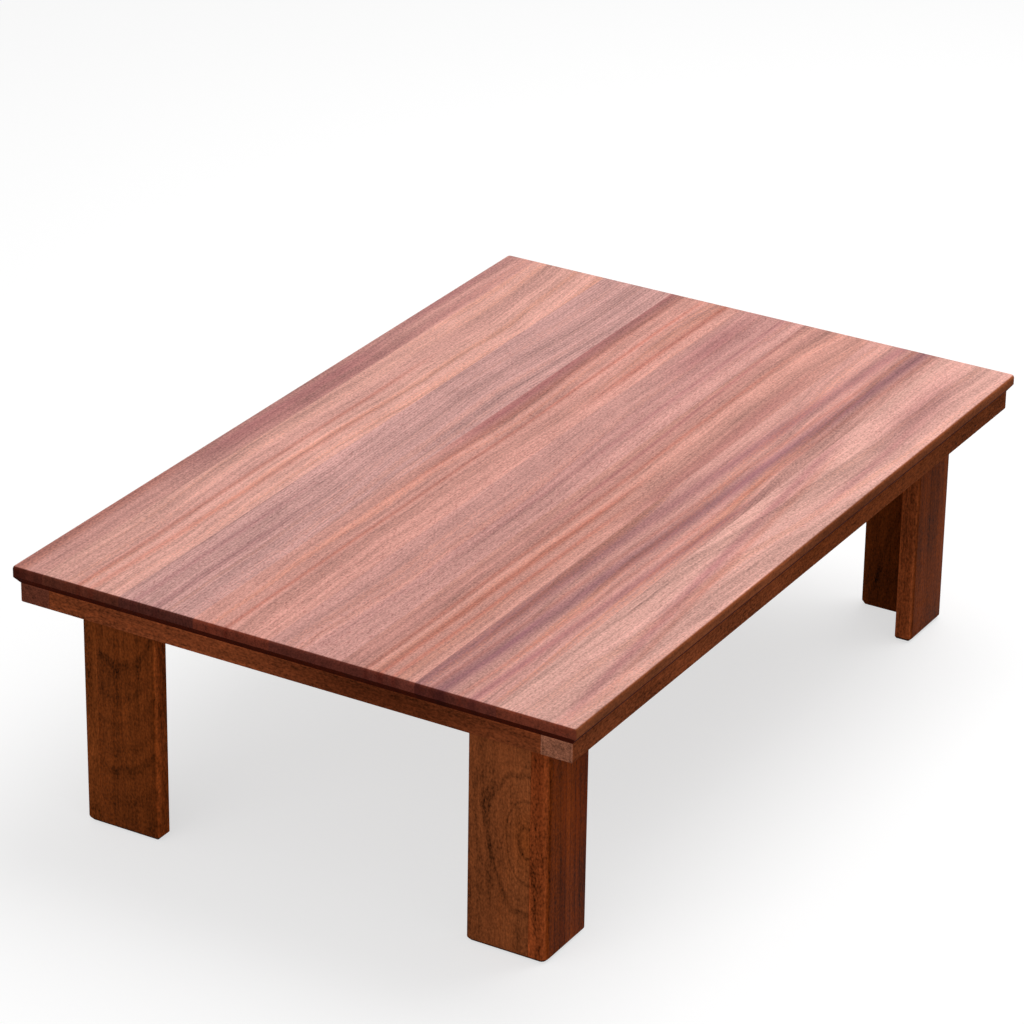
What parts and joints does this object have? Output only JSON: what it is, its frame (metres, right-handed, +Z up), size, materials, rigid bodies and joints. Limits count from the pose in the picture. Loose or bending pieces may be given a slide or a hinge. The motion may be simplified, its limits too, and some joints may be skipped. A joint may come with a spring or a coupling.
{
  "type": "coffee table",
  "caption": "Low rectangular coffee table with an edge-glued plank top, a shallow rim and L-shaped legs made of boards.",
  "frame": {"origin": "on the floor, under the middle of the top", "axes": "+X across the short side to the right, +Y along the long side to the far end, +Z up"},
  "size_m": [0.6, 0.9, 0.272],
  "materials": {
    "top_wood": "satin lacquer on pinkish-brown hardwood with ribbon grain, end grain dark brown",
    "rim_wood": "satin lacquer on orange-brown hardwood",
    "leg_wood": "satin lacquer on dark orange-brown hardwood",
    "inner_wood": "planed, thin matt lacquer",
    "zinc_steel": "bright zinc plate",
    "brass": "turned, bare"
  },
  "bodies": {
    "root": {"top_plank_1": "top_wood", "top_plank_2": "top_wood", "top_plank_3": "top_wood", "top_plank_4": "top_wood", "top_plank_5": "top_wood", "top_plank_6": "top_wood", "top_plank_7": "top_wood", "top_plank_8": "top_wood", "apron_long_left": "rim_wood", "apron_long_right": "rim_wood", "apron_short_near": "rim_wood", "apron_short_far": "rim_wood", "leg_near_left_side_board": "leg_wood", "leg_near_left_end_board": "leg_wood", "leg_near_right_side_board": "leg_wood", "leg_near_right_end_board": "leg_wood", "leg_far_left_side_board": "leg_wood", "leg_far_left_end_board": "leg_wood", "leg_far_right_side_board": "leg_wood", "leg_far_right_end_board": "leg_wood", "leg_near_left_corner_block": "inner_wood", "leg_near_right_corner_block": "inner_wood", "leg_far_left_corner_block": "inner_wood", "leg_far_right_corner_block": "inner_wood", "batten_near": "inner_wood", "batten_far": "inner_wood", "leg_bolts": "zinc_steel", "bolt_washers": "zinc_steel", "batten_screws": "zinc_steel", "threaded_inserts": "brass"}
  },
  "joints": []
}
